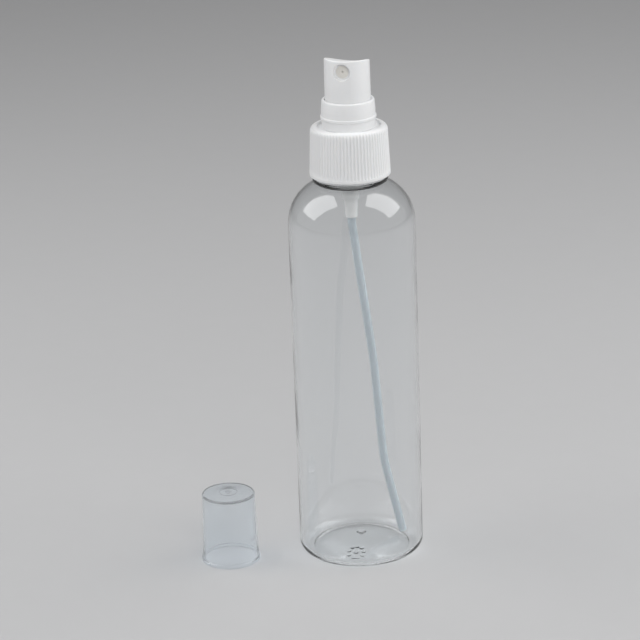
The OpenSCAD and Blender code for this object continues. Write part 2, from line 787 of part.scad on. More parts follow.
bottle();
neck_finish();
closure();
collar();
actuator();
nozzle_insert();
stem();
stem_seal();
piston();
piston_spring();
valve_rod();
return_spring();
housing();
inlet_ball();
neck_gasket();
dip_tube();
overcap();
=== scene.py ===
import json
import math

import bmesh
import bpy
from bpy.props import FloatProperty, FloatVectorProperty, IntProperty, PointerProperty
from bpy.types import Operator, Panel, PropertyGroup
from mathutils import Matrix, Vector

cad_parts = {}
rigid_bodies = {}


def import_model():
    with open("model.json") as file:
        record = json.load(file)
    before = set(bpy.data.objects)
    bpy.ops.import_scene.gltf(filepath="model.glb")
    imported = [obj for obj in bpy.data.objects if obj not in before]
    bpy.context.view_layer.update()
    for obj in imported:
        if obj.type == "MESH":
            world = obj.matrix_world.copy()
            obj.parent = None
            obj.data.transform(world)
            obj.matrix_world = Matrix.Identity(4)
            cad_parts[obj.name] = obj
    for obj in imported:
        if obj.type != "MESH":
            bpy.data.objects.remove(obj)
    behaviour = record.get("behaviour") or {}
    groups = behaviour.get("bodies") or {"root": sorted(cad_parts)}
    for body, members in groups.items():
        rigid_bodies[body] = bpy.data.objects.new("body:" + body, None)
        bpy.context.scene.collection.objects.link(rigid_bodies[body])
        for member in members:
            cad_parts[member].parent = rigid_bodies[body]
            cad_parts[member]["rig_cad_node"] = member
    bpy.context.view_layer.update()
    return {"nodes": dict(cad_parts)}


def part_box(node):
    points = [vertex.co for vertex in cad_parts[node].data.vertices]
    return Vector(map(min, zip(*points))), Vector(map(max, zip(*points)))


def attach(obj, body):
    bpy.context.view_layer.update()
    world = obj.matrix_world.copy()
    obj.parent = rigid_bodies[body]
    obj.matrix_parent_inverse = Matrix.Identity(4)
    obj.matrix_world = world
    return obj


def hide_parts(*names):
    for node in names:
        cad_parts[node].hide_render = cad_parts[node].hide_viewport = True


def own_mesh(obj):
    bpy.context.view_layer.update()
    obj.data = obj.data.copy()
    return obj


bl_info = {
    "name": "Spray Bottle",
    "version": (1, 0, 0),
    "blender": (4, 5, 0),
    "location": "View3D > Sidebar > Spray Bottle",
    "description": "Clear round spray bottle with a finger pump and a clear overcap",
    "category": "Add Mesh",
}

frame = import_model()

MM = 0.001
# Vertices nearer than WELD become one, and a vertex within NEAR of a place counts as being there
WELD = 2e-6
NEAR = 1e-5

# Boxes of the solids that the pieces are fitted to
BODY_LOW, BODY_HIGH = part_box("bottle")
NECK_LOW, NECK_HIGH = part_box("neck_finish")
CLOSURE_LOW, CLOSURE_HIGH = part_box("closure")
COLLAR_LOW, COLLAR_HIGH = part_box("collar")
ACTUATOR_LOW, ACTUATOR_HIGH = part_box("actuator")
TUBE_LOW, TUBE_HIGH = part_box("dip_tube")
CAP_LOW, CAP_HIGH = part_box("overcap")
SPRING_LOW, SPRING_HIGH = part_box("return_spring")
COIL_LOW, COIL_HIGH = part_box("piston_spring")
CAP_AXIS = Vector(((CAP_LOW.x + CAP_HIGH.x) / 2, (CAP_LOW.y + CAP_HIGH.y) / 2, 0))


# Settings

def length(name, description, default):
    """A length in metres, given in millimetres."""
    return FloatProperty(name=name, description=description, default=default * MM,
                         min=0, precision=5, unit="LENGTH")


def colour(name, description, default):
    """A colour as red, green and blue from 0 to 1."""
    return FloatVectorProperty(name=name, description=description, default=default,
                               size=3, min=0, max=1, subtype="COLOR")


class SprayBottleSizes(PropertyGroup):
    body_r: length("Body radius", "Radius of the straight wall", BODY_HIGH.x / MM)
    lip_z: length("Lip height", "Height of the bottle's lip", NECK_HIGH.z / MM)
    body_h: length("Body height", "Height at which the shoulder begins", 122)
    wall: length("Wall", "Thickness of the blown wall", 0.8)
    base_wall: length("Base", "Thickness of the base", 1.1)
    heel_r: length("Heel radius", "Radius of the rounded heel", 3.8)
    foot_w: length("Foot width", "Width of the ring that the bottle stands on", 1.2)
    punt_h: length("Push-up height", "Height of the push-up in the base", 4.6)
    shoulder_r: length("Shoulder radius", "Radius of the domed shoulder", 16)
    waist_r: length("Waist radius", "Radius between the shoulder and the neck ring", 12.1)
    ring_r: length("Neck ring radius", "Radius of the neck support ring", NECK_HIGH.x / MM)
    ring_z: length("Neck ring height", "Height of the ring's underside", NECK_LOW.z / MM)
    ring_t: length("Neck ring thickness", "Thickness of the neck support ring", 1.3)
    finish_r: length("Finish radius", "Radius of the neck at the root of its thread", 10.7)
    bore_r: length("Neck bore radius", "Radius of the neck's bore", 8.9)
    thread_pitch: length("Thread pitch", "Rise of the thread in one turn", 3.175)
    thread_turns: FloatProperty(name="Thread turns", description="Turns of the neck's thread",
                                default=1.5, min=0.5, max=3)
    rib_count: IntProperty(name="Grip ribs", description="Number of ribs on the closure",
                           default=72, min=24, max=120)
    rib_depth: length("Rib depth", "Depth of the grooves between the ribs", 0.4)
    rest_fall: length("Finger rest fall", "How far the finger rest falls to the back", 3.5)
    rest_r: length("Finger rest radius", "Radius of the finger rest's hollow", 30)
    tube_r: length("Tube radius", "Outer radius of the dip tube", 1.45)
    tube_wall: length("Tube wall", "Wall of the dip tube", 0.5)
    dot_count: IntProperty(name="Base dots", description="Raised dots in the ring on the base",
                           default=9, min=3, max=16)


class SprayBottleFinishes(PropertyGroup):
    clear_tint: colour("Clear bottle", "Tint of the clear bottle", (0.975, 0.985, 0.99))
    white: colour("White plastic", "Closure, collar and actuator", (0.86, 0.865, 0.87))
    # The nozzle insert's warm, darker white is painted shade of the nozzle recess around it
    insert_white_with_painted_shade: colour("Nozzle insert", "Warm white of the nozzle insert", (0.8, 0.78, 0.73))
    natural: colour("Natural plastic", "Pump housing, piston and rod", (0.9, 0.9, 0.89))
    milky: colour("Dip tube", "Milky blue-grey of the dip tube", (0.74, 0.82, 0.87))
    cap_tint: colour("Overcap", "Bluish tint of the clear overcap", (0.92, 0.945, 0.965))
    steel: colour("Spring steel", "Springs and ball", (0.62, 0.63, 0.65))
    seal: colour("Seal", "Stem seal", (0.06, 0.06, 0.065))
    gasket: colour("Gasket", "Neck gasket", (0.75, 0.76, 0.78))
    floor: colour("Floor", "Floor and backdrop", (0.53, 0.53, 0.535))


def sizes():
    """The lengths and counts that a user may change."""
    return bpy.context.scene.spray_bottle_sizes


def finishes():
    """The colours that a user may change."""
    return bpy.context.scene.spray_bottle_finishes


# Modelling by hand, in code

def deselect():
    """Leaves edit mode and selects nothing."""
    if bpy.context.object and bpy.context.object.mode != "OBJECT":
        bpy.ops.object.mode_set(mode="OBJECT")
    bpy.ops.object.select_all(action="DESELECT")


def pick(obj):
    """Selects this piece and nothing else."""
    deselect()
    bpy.context.view_layer.objects.active = obj
    obj.select_set(True)


def edit(obj):
    """Opens the piece in edit mode, by itself."""
    pick(obj)
    bpy.ops.object.mode_set(mode="EDIT")
    bpy.ops.mesh.select_mode(type="VERT")


def draw_chain(name, points):
    """A chain of edges through points given as (radius, height), drawn by extruding one vertex."""
    deselect()
    r, z = points[0]
    bpy.ops.mesh.primitive_plane_add(size=MM, location=(r, 0, z))
    obj = bpy.context.object
    obj.name = obj.data.name = name
    bpy.ops.object.transform_apply(location=True, rotation=False, scale=False)
    edit(obj)
    bpy.ops.mesh.select_all(action="SELECT")
    bpy.ops.mesh.merge(type="CENTER")
    for a, b in zip(points, points[1:]):
        bpy.ops.mesh.extrude_region_move(
            TRANSFORM_OT_translate={"value": (b[0] - a[0], 0, b[1] - a[1])})
    return obj


def weld(obj, distance=WELD):
    """Merges vertices nearer than the distance and leaves the whole mesh selected."""
    edit(obj)
    bpy.ops.mesh.select_all(action="SELECT")
    bpy.ops.mesh.remove_doubles(threshold=distance)


def fill_ends(obj):
    """Closes the open ends of a wound thread or wire."""
    edit(obj)
    bpy.ops.mesh.select_mode(type="EDGE")
    bpy.ops.mesh.select_all(action="DESELECT")
    bpy.ops.mesh.select_non_manifold(extend=False, use_wire=False, use_multi_face=False,
                                     use_non_contiguous=False, use_verts=False)
    bpy.ops.mesh.fill()
    bpy.ops.object.mode_set(mode="OBJECT")


def tidy_mesh(obj, smooth_angle=40):
    """Merges the seam and poles, turns the faces outwards and smooths all but sharp edges."""
    weld(obj)
    bpy.ops.mesh.dissolve_degenerate(threshold=1e-7)
    bpy.ops.mesh.delete_loose(use_verts=True, use_edges=True, use_faces=False)
    bpy.ops.mesh.select_all(action="SELECT")
    bpy.ops.mesh.normals_make_consistent(inside=False)
    if signed_volume(obj) < 0:
        bpy.ops.mesh.flip_normals()
    bpy.ops.object.mode_set(mode="OBJECT")
    bpy.ops.object.shade_smooth_by_angle(angle=math.radians(smooth_angle))
    return obj


def signed_volume(obj):
    """Volume inside the edited mesh, below zero when its faces point inwards."""
    return bmesh.from_edit_mesh(obj.data).calc_volume(signed=True)


def lathe(name, points, steps, turn=2 * math.pi):
    """Spins a drawn chain round the Z axis, counterclockwise from above."""
    obj = draw_chain(name, points)
    bpy.ops.mesh.select_all(action="SELECT")
    bpy.ops.mesh.spin(steps=steps, angle=-turn, center=(0, 0, 0), axis=(0, 0, 1))
    bpy.ops.object.mode_set(mode="OBJECT")
    return obj


def arc(cx, cz, r, start, end, steps=8):
    """Points of an arc from one angle to another, in degrees."""
    angles = [math.radians(start + (end - start) * i / steps) for i in range(steps + 1)]
    return [(cx + r * math.cos(a), cz + r * math.sin(a)) for a in angles]


def rounded(corners, steps=4):
    """Points (r, z) or (r, z, fillet radius), with each fillet drawn as an arc."""
    places = [Vector(corner[:2]) for corner in corners]
    last = len(corners) - 1
    lengths = [(b - a).length for a, b in zip(places, places[1:])]
    halves, reaches = [0.0] * len(corners), [0.0] * len(corners)
    for i in range(1, last):
        if len(corners[i]) == 3:
            halves[i] = (places[i - 1] - places[i]).angle(places[i + 1] - places[i]) / 2
            reaches[i] = corners[i][2] / math.tan(halves[i])
    points = []
    for i, here in enumerate(places):
        if not reaches[i]:
            points.append(tuple(here))
            continue
        room = min(lengths[i - 1] / (reaches[i] + reaches[i - 1]),
                   lengths[i] / (reaches[i] + reaches[i + 1]))
        reach = reaches[i] * min(1, 0.98 * room)
        radius = reach * math.tan(halves[i])
        before, after = (places[i - 1] - here).normalized(), (places[i + 1] - here).normalized()
        middle = here + (before + after).normalized() * radius / math.sin(halves[i])
        first, final = here + before * reach - middle, here + after * reach - middle
        start = math.atan2(first.y, first.x)
        sweep = (math.atan2(final.y, final.x) - start + math.pi) % (2 * math.pi) - math.pi
        turns = [start + sweep * k / steps for k in range(steps + 1)]
        points += [(middle.x + radius * math.cos(a), middle.y + radius * math.sin(a)) for a in turns]
    return points


def close(points):
    """The chain with its first point again at its end."""
    return points + points[:1]


def select_where(obj, test):
    """Selects the vertices whose place passes the test, in edit mode."""
    edit(obj)
    bpy.ops.mesh.select_all(action="DESELECT")
    bpy.ops.object.mode_set(mode="OBJECT")
    for v in obj.data.vertices:
        v.select = test(v.co)
    bpy.ops.object.mode_set(mode="EDIT")


def push(angle, distance):
    """Moves what is selected away from the Z axis, in the direction of the angle."""
    bpy.ops.transform.translate(value=(distance * math.cos(angle), distance * math.sin(angle), 0))


def apply_modifier(obj, kind, **settings):
    """Puts a modifier with these settings on the piece and applies it."""
    pick(obj)
    modifier = obj.modifiers.new(kind.title(), kind)
    for key, value in settings.items():
        setattr(modifier, key, value)
    bpy.ops.object.modifier_apply(modifier=modifier.name)


def cut(obj, tool):
    """Cuts the tool's shape out of the piece and throws the tool away."""
    apply_modifier(obj, "BOOLEAN", object=tool, operation="DIFFERENCE", solver="EXACT")
    bpy.data.objects.remove(tool)


def soften(obj, width, angle):
    """Rounds the edges sharper than the angle and smooths the rest."""
    apply_modifier(obj, "BEVEL", width=width, segments=4, limit_method="ANGLE",
                   angle_limit=math.radians(angle), use_clamp_overlap=False, harden_normals=False,
                   loop_slide=False)
    tidy_mesh(obj)


def settle(obj, body, slot, *nodes):
    """Puts the finished piece on its body and hides the solids that it replaces; the finish given as
    slot is not used.
    """
    pick(obj)
    bpy.ops.object.transform_apply(location=True, rotation=True, scale=True)
    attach(obj, body)
    if nodes:
        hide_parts(*nodes)
    return obj


# Materials

def add(tree, kind, **inputs):
    """A new shader node, each input given as a value or as the socket to link to it."""
    node = tree.nodes.new(kind)
    for key, value in inputs.items():
        socket = node.inputs[key.replace("_", " ")]
        if isinstance(value, bpy.types.NodeSocket):
            tree.links.new(value, socket)
        else:
            socket.default_value = value
    return node


def moulded(name, base, roughness, grain=0.02, mottle=0.02, grain_size=0.35, wave=0.0,
            **sockets):
    """A moulded plastic: faint colour drift, a fine grain in its polish and, if asked, slow waves."""
    made = bpy.data.materials.new(name)
    made.use_nodes = True
    tree = made.node_tree
    shader = tree.nodes["Principled BSDF"]
    place = add(tree, "ShaderNodeTexCoord").outputs["Object"]
    drift = add(tree, "ShaderNodeTexNoise", Vector=place, Scale=90.0, Detail=3.0)
    mix = add(tree, "ShaderNodeMix", Factor=drift.outputs["Fac"])
    mix.data_type = "RGBA"
    first, second = [socket for socket in mix.inputs if socket.type == "RGBA"]
    first.default_value = [c * (1 - mottle) for c in base] + [1]
    second.default_value = [min(1, c * (1 + mottle)) for c in base] + [1]
    drifting = next(socket for socket in mix.outputs if socket.type == "RGBA")
    tree.links.new(drifting, shader.inputs["Base Color"])
    fine = add(tree, "ShaderNodeTexNoise", Vector=place, Scale=1 / (grain_size * MM), Detail=2.0)
    polish = add(tree, "ShaderNodeMapRange", Value=fine.outputs["Fac"])
    polish.inputs["To Min"].default_value = max(0, roughness - grain)
    polish.inputs["To Max"].default_value = roughness + grain
    tree.links.new(polish.outputs["Result"], shader.inputs["Roughness"])
    bump = add(tree, "ShaderNodeBump", Height=fine.outputs["Fac"], Strength=0.08,
               Distance=0.02 * MM)
    if wave:
        slow = add(tree, "ShaderNodeTexNoise", Vector=place, Scale=55.0, Detail=1.0)
        bump = add(tree, "ShaderNodeBump", Height=slow.outputs["Fac"], Strength=1.0,
                   Distance=wave * MM, Normal=bump.outputs["Normal"])
    tree.links.new(bump.outputs["Normal"], shader.inputs["Normal"])
    for key, value in sockets.items():
        shader.inputs[key.replace("_", " ")].default_value = value
    return made


def lit_through(made, tint):
    """Lets lamps shine through a clear plastic, dimmed by its tint, onto what stands behind it."""
    tree = made.node_tree
    mix = tree.nodes.new("ShaderNodeMixShader")
    shadow = add(tree, "ShaderNodeLightPath").outputs["Is Shadow Ray"]
    veil = add(tree, "ShaderNodeBsdfTransparent", Color=tint)
    for socket, source in zip(mix.inputs, (shadow, tree.nodes["Principled BSDF"].outputs[0],
                                           veil.outputs[0])):
        tree.links.new(source, socket)
    tree.links.new(mix.outputs[0], tree.nodes["Material Output"].inputs["Surface"])
    return made


def white_plastic(name):
    """The white of the closure, collar and actuator, which lets a little light in."""
    return moulded(name, finishes().white, 0.36, grain=0.06, mottle=0.012, grain_size=0.3,
                   Subsurface_Weight=0.15, Subsurface_Radius=(1.2, 1.1, 1.0),
                   Subsurface_Scale=0.0008, IOR=1.5)


def paint(obj, made):
    """Gives the piece this one material."""
    obj.data.materials.clear()
    obj.data.materials.append(made)


# Pieces

class SPRAYBOTTLE_OT_bottle(Operator):
    """Blow the clear bottle: push-up with gate nub and dots, body, shoulder, ring and neck"""
    bl_idname = "spray_bottle.make_bottle"
    bl_label = "Bottle"

    def execute(self, context):
        s = sizes()
        foot_r = s.body_r - s.heel_r
        punt_r = foot_r - s.foot_w
        punt_ball, ball_z = push_up(s)
        floor_ball = punt_ball + s.base_wall
        axis_r = s.body_r - s.shoulder_r
        inner = s.shoulder_r - s.wall
        ring_top = s.ring_z + s.ring_t
        punt_angle = math.degrees(math.asin(punt_r / punt_ball))
        floor_angle = math.degrees(math.acos((s.base_wall - ball_z) / floor_ball))
        dome = math.degrees(math.acos((s.waist_r - axis_r) / s.shoulder_r))
        bore_dome = math.degrees(math.acos((s.bore_r + 1.2 * MM - axis_r) / inner))
        rows = 12
        outer = (
            arc(0, ball_z, punt_ball, 90, 90 - punt_angle, steps=56)
            + arc(foot_r, s.heel_r, s.heel_r, -90, 0, steps=20)
            + [(s.body_r, s.heel_r + (s.body_h - s.heel_r) * i / rows) for i in range(1, rows)]
            + arc(axis_r, s.body_h, s.shoulder_r, 0, dome, steps=36)
        )
        neck = rounded([
            outer[-1], (s.waist_r, s.ring_z, 0.3 * MM), (s.ring_r, s.ring_z, 0.35 * MM),
            (s.ring_r, ring_top, 0.35 * MM), (s.finish_r, ring_top, 0.4 * MM),
            (s.finish_r, s.lip_z, 0.3 * MM), (s.bore_r, s.lip_z, 0.3 * MM),
            (s.bore_r, s.body_h + inner, 1.4 * MM),
            arc(axis_r, s.body_h, inner, bore_dome, bore_dome, steps=1)[0],
        ], steps=5)[1:]
        inside = (
            arc(axis_r, s.body_h, inner, bore_dome, 0, steps=36)[1:]
            + [(s.body_r - s.wall, s.body_h - (s.body_h - s.heel_r - s.base_wall) * i / rows)
               for i in range(1, rows)]
            + arc(foot_r, s.base_wall + s.heel_r - s.wall, s.heel_r - s.wall, 0, -90, steps=16)
            + arc(0, ball_z, floor_ball, 90 - floor_angle, 90, steps=30)[1:]
        )
        bottle = lathe("bottle_shell", outer + neck + inside, 192)
        tidy_mesh(bottle)
        self.emboss(bottle, s)
        clear = moulded("clear_pet", finishes().clear_tint, 0.012, grain=0.004, mottle=0.0,
                        wave=0.1, Transmission_Weight=1.0, IOR=1.57)
        paint(bottle, lit_through(clear, (0.95, 0.96, 0.965, 1)))
        settle(bottle, "bottle", "clear_pet", "bottle", "neck_finish")

        thread = make_thread("neck_thread", s.finish_r - 0.05 * MM, 1.2 * MM, s.lip_z - 2.2 * MM, s)
        paint(thread, bottle.data.materials[0])
        settle(thread, "bottle", "clear_pet")
        return {"FINISHED"}

    def emboss(self, bottle, s):
        """Raises the gate nub in the middle of the base, and a plain ring of dots round one dot."""
        middle, ring_r = Vector((-2.2, -12)) * MM, 2.6 * MM
        nub_r, nub_h, dot_r, dot_h, middle_dot_r = (v * MM for v in (1.5, 0.9, 0.75, 0.4, 0.9))
        angles = [2 * math.pi * i / s.dot_count for i in range(s.dot_count)]
        spots = [(Vector((0, 0)), nub_r, nub_h)]
        spots += [(middle + Vector((math.cos(a), math.sin(a))) * ring_r, dot_r, dot_h)
                  for a in angles]
        spots += [(middle, middle_dot_r, dot_h)]
        narrowing = (1.0, 0.75, 0.45)
        for place, radius, height in spots:
            for share in narrowing:
                select_where(bottle, lambda p: under_surface(p, s)
                             and (p.xy - place).length < radius * share)
                bpy.ops.transform.translate(value=(0, 0, -height / len(narrowing)))
        bpy.ops.object.mode_set(mode="OBJECT")


def push_up(s):
    """Radius of the ball that the push-up is a cap of, and the height of its middle."""
    punt_r = s.body_r - s.heel_r - s.foot_w
    ball = (punt_r ** 2 + s.punt_h ** 2) / (2 * s.punt_h)
    return ball, s.punt_h - ball


def under_surface(p, s):
    """True for a point on the outside of the push-up, or already pressed down from it."""
    ball, ball_z = push_up(s)
    surface_z = ball_z + math.sqrt(ball ** 2 - p.xy.length_squared)
    return p.xy.length < 16 * MM and p.z < surface_z + 0.2 * MM


def make_thread(name, root_r, height, top, s, inward=False):
    """One thread of trapezoid section, wound by a Screw modifier and run out at both ends."""
    width, flank, run_out = 1.9 * MM, 0.32, 9
    out = -height if inward else height
    rise = s.thread_turns * s.thread_pitch
    low = top - rise - width
    obj = draw_chain(name, close([
        (root_r, low), (root_r + out, low + flank * width),
        (root_r + out, low + (1 - flank) * width), (root_r, low + width)]))
    weld(obj)
    steps = int(96 * s.thread_turns)
    turn = 2 * math.pi * s.thread_turns
    apply_modifier(obj, "SCREW", angle=turn, screw_offset=rise, steps=steps, render_steps=steps,
                   iterations=1, axis="Z", use_merge_vertices=False)
    for k in range(steps + 1):
        ease = min(1, k / run_out, (steps - k) / run_out)
        if ease == 1:
            continue
        a, z = turn * k / steps, low + rise * k / steps
        crest = Vector((math.cos(a), math.sin(a))) * (root_r + out)
        select_where(obj, lambda p: (p.xy - crest).length < NEAR
                     and z - NEAR < p.z < z + width + NEAR)
        push(a, -out * (1 - ease))
    fill_ends(obj)
    return tidy_mesh(obj)


class SPRAYBOTTLE_OT_closure(Operator):
    """Mould the screw closure: one grip rib as a wedge, copied round, with trough and thread"""
    bl_idname = "spray_bottle.make_closure"
    bl_label = "Closure"

    def execute(self, context):
        s = sizes()
        low, top = CLOSURE_LOW.z, CLOSURE_HIGH.z
        rim_r, crown_r = CLOSURE_HIGH.x, CLOSURE_HIGH.x - 0.7 * MM
        bore_r, hole_r, lead_in = s.finish_r + 1.45 * MM, 5.6 * MM, 0.3 * MM
        web_z, trough_z = s.lip_z + 2 * MM, top - 0.7 * MM
        crest_in, trough_in, edge_r = 2.3 * MM, 2.6 * MM, 1.9 * MM
        rib_low, rib_top, margin = low + 1.2 * MM, top - 2.1 * MM, 0.1 * MM
        rows, steps = 10, 8

        def side_r(z):
            return rim_r + (crown_r - rim_r) * (z - low) / (top - low)

        profile = rounded([
            (bore_r, low + lead_in), (bore_r + lead_in, low), (rim_r, low, 0.22 * MM),
            (side_r(rib_low - margin), rib_low - margin),
        ])
        profile += [(side_r(z), z) for z in
                    (rib_low + (rib_top - rib_low) * i / rows for i in range(rows + 1))]
        profile += rounded([
            (side_r(rib_top + 2 * margin), rib_top + 2 * margin), (side_r(top), top, edge_r),
            (crown_r - crest_in, top, 0.2 * MM), (crown_r - trough_in, trough_z, 0.25 * MM),
            (hole_r, trough_z), (hole_r, web_z), (bore_r, web_z), (bore_r, low + lead_in),
        ], steps=8)
        pitch = 2 * math.pi / s.rib_count
        closure = lathe("closure_shell", profile, steps, pitch)
        for k in range(steps + 1):
            a = pitch * k / steps
            depth = s.rib_depth * ((1 + math.cos(2 * math.pi * k / steps)) / 2) ** 1.3
            for share, inset, fade in ((0.4, 0.0, 1.5), (0.3, 0.2, 1.2), (0.3, 0.55, 0.8)):
                select_where(closure, lambda p: abs(p.y * math.cos(a) - p.x * math.sin(a)) < NEAR
                             and rib_low + inset * MM - NEAR < p.z < rib_top + fade * MM
                             and p.xy.length > bore_r + 0.2 * MM)
                push(a, -depth * share)
        edit(closure)
        bpy.ops.mesh.select_all(action="SELECT")
        copies = s.rib_count - 1
        bpy.ops.mesh.spin(steps=copies, dupli=True, angle=pitch * copies,
                          center=(0, 0, 0), axis=(0, 0, 1))
        tidy_mesh(closure, 35)
        paint(closure, white_plastic("white_closure"))
        settle(closure, "closure", "white_closure", "closure")

        thread = make_thread("closure_thread", bore_r + 0.05 * MM, 0.95 * MM,
                             s.lip_z - 0.6 * MM, s, inward=True)
        paint(thread, closure.data.materials[0])
        settle(thread, "closure", "white_closure")
        return {"FINISHED"}


class SPRAYBOTTLE_OT_collar(Operator):
    """Turn the collar with its foot, stop bead, land and taper, and the hub that guides the stem"""
    bl_idname = "spray_bottle.make_collar"
    bl_label = "Collar"

    def execute(self, context):
        low, top = COLLAR_LOW.z, COLLAR_HIGH.z
        floor, hub_low, hub_top = low + 1.2 * MM, low + 4.3 * MM, low + 5.3 * MM
        bead, land, land_top = low + 3 * MM, low + 4.2 * MM, low + 6.2 * MM
        bead_r = COLLAR_HIGH.x
        land_r = bead_r - 0.3 * MM
        foot_r = land_r - 0.1 * MM
        guide_r, mouth_r, collar_wall = 8.25 * MM, 8.08 * MM, 0.8 * MM
        hub_r, grip_r, stem_hole_r = 6.3 * MM, 5.3 * MM, 2.2 * MM
        profile = rounded([
            (grip_r, low), (foot_r, low, 0.15 * MM), (foot_r, bead, 0.1 * MM),
            (bead_r, bead + 0.25 * MM, 0.25 * MM), (bead_r, land - 0.1 * MM, 0.25 * MM),
            (land_r, land, 0.1 * MM), (land_r, land_top, 0.6 * MM),
            (guide_r + collar_wall, top, 0.55 * MM), (mouth_r, top, 0.2 * MM),
            (mouth_r, top - 0.8 * MM, 0.1 * MM), (guide_r, top - 1.2 * MM),
            (guide_r, floor, 0.3 * MM), (hub_r, floor, 0.3 * MM), (hub_r, hub_top, 0.3 * MM),
            (stem_hole_r, hub_top, 0.1 * MM), (stem_hole_r, hub_low),
            (grip_r, hub_low), (grip_r, low),
        ], steps=5)
        collar = tidy_mesh(lathe("collar_ring", profile, 144), 35)
        paint(collar, white_plastic("white_collar"))
        settle(collar, "pump", "white_collar", "collar")
        return {"FINISHED"}


class SPRAYBOTTLE_OT_actuator(Operator):
    """Shape the actuator: turned body, scooped finger rest, nozzle recess and softened edges"""
    bl_idname = "spray_bottle.make_actuator"
    bl_label = "Actuator"

    def execute(self, context):
        s = sizes()
        low, top = ACTUATOR_LOW.z, ACTUATOR_HIGH.z
        low_r, top_r = 7.95 * MM, 7.78 * MM
        spare = 1 * MM
        turn = math.radians(-15.5)
        ahead = Vector((math.sin(turn), -math.cos(turn), 0))
        body = tidy_mesh(lathe("actuator_button", rounded([
            (0, low), (low_r, low, 0.25 * MM), (top_r, top), (top_r, top + spare), (0, top + spare),
        ]), 128))

        # The scoop has an odd number of sides, so a flat side, and no edge, cuts the front rim
        deselect()
        tilt = math.atan(s.rest_fall / (2 * top_r))
        rim = ahead * top_r + Vector((0, 0, top - 0.05 * MM))
        bpy.ops.mesh.primitive_cylinder_add(vertices=97, radius=s.rest_r, depth=2 * s.rest_r)
        scoop = bpy.context.object
        scoop.matrix_world = (Matrix.Translation(rim) @ Matrix.Rotation(turn, 4, "Z")
                              @ Matrix.Rotation(-tilt, 4, "X") @ Matrix.Translation((0, 0, s.rest_r))
                              @ Matrix.Rotation(math.pi / 2, 4, "X"))
        cut(body, scoop)
        weld(body, 0.08 * MM)
        soften(body, 0.5 * MM, 50)

        nozzle_z = top - 4 * MM
        lip_r, skirt_r = low_r - 0.85 * MM, low_r - 1.05 * MM
        roof_z, post_r, post_z = nozzle_z - 4.2 * MM, 3.2 * MM, low + 4.1 * MM
        socket_r, socket_z = 2.14 * MM, post_z + 5.5 * MM
        channel_r, channel_z = 0.7 * MM, nozzle_z - 1 * MM
        hollow = lathe("hollow", rounded([
            (0, low - spare), (lip_r, low - spare), (lip_r, low), (skirt_r, low + 0.2 * MM),
            (skirt_r, roof_z, 0.4 * MM), (post_r, roof_z, 0.4 * MM), (post_r, post_z, 0.2 * MM),
            (socket_r, post_z), (socket_r, socket_z), (channel_r, socket_z),
            (channel_r, channel_z), (0, channel_z),
        ]), 96)
        cut(body, tidy_mesh(hollow))

        seat_r, seat_z, recess_r, recess_z, mouth_r = (
            v * MM for v in (2.2, -4.1, 2.72, -1.3, 3.1))
        recess = tidy_mesh(lathe("recess", rounded([
            (0, seat_z), (seat_r, seat_z), (seat_r, recess_z, 0.06 * MM),
            (recess_r, recess_z, 0.2 * MM), (mouth_r, spare), (0, spare),
        ]), 96))
        place = (Matrix.Translation(Vector((0, 0, nozzle_z)) + ahead * top_r)
                 @ Matrix.Rotation(turn, 4, "Z") @ Matrix.Rotation(math.pi / 2, 4, "X"))
        recess.matrix_world = place
        cut(body, recess)
        away = place.inverted()
        select_where(body, lambda p: (away @ p).z > -0.7 * MM
                     and 2.8 * MM < (away @ p).xy.length < 2.98 * MM)
        bpy.ops.mesh.bevel(offset=0.3 * MM, segments=4, affect="EDGES", clamp_overlap=True)
        tidy_mesh(body)
        paint(body, white_plastic("white_actuator"))
        settle(body, "actuator", "white_actuator", "actuator")
        return {"FINISHED"}


def walk(route, straight, bend, radius, steps=8):
    """Carries a route of (across, height, heading) on along a straight length and then a bend."""
    x, z, heading = route[-1]
    for i in range(1, steps + 1):
        route.append((x + math.sin(heading) * straight * i / steps,
                      z - math.cos(heading) * straight * i / steps, heading))
    x, z, heading = route[-1]
    r = math.copysign(radius, bend)
    for i in range(1, steps + 1):
        now = heading + bend * i / steps
        route.append((x + r * (math.cos(heading) - math.cos(now)),
                      z - r * (math.sin(now) - math.sin(heading)), now))


def tube_route(s):
    """Points along the dip tube's axis in its own plane, down to its end near the heel."""
    reach = s.body_r - s.heel_r - 3.1 * MM
    ball, ball_z = push_up(s)
    end_z = ball_z + math.sqrt((ball + s.base_wall) ** 2 - reach ** 2) + 2.15 * MM
    fall = TUBE_HIGH.z - end_z
    route = [(0.0, 0.0, 0.0)]
    # Each stretch runs straight and then bends: out of the housing, slowly back, and on
    for straight, bend, radius in ((6.5 * MM, 7, 25 * MM), (0.366 * fall, -3, 150 * MM),
                                   (0.239 * fall, 0, 1)):
        walk(route, straight, math.radians(bend), radius)
    x, z, heading = route[-1]
    foot_r = 60 * MM
    aim = Vector((reach - x - foot_r * math.cos(heading), -fall - z - foot_r * math.sin(heading)))
    last = math.sqrt(aim.length_squared - foot_r ** 2)
    final = math.atan2(aim.y, aim.x) + math.pi / 2 + math.atan2(foot_r, last)
    walk(route, 0, final - heading, foot_r)
    walk(route, last, 0, 1)
    places = []
    for x, z, _ in route:
        if not places or (Vector((x, z)) - Vector(places[-1])).length > WELD:
            places.append((x, z))
    return [(x, TUBE_HIGH.z + z) for x, z in places]


def wire(name, points, radius, sides):
    """A round wire or tube drawn as a curve through the points and made a mesh."""
    curve = bpy.data.curves.new(name, "CURVE")
    curve.dimensions = "3D"
    line = curve.splines.new("POLY")
    line.points.add(len(points) - 1)
    for point, place in zip(line.points, points):
        point.co = (*place, 1)
    curve.bevel_depth = radius
    curve.bevel_resolution = max(0, sides // 4 - 1)
    curve.use_fill_caps = False
    obj = bpy.data.objects.new(name, curve)
    bpy.context.collection.objects.link(obj)
    pick(obj)
    bpy.ops.object.convert(target="MESH")
    return bpy.context.object


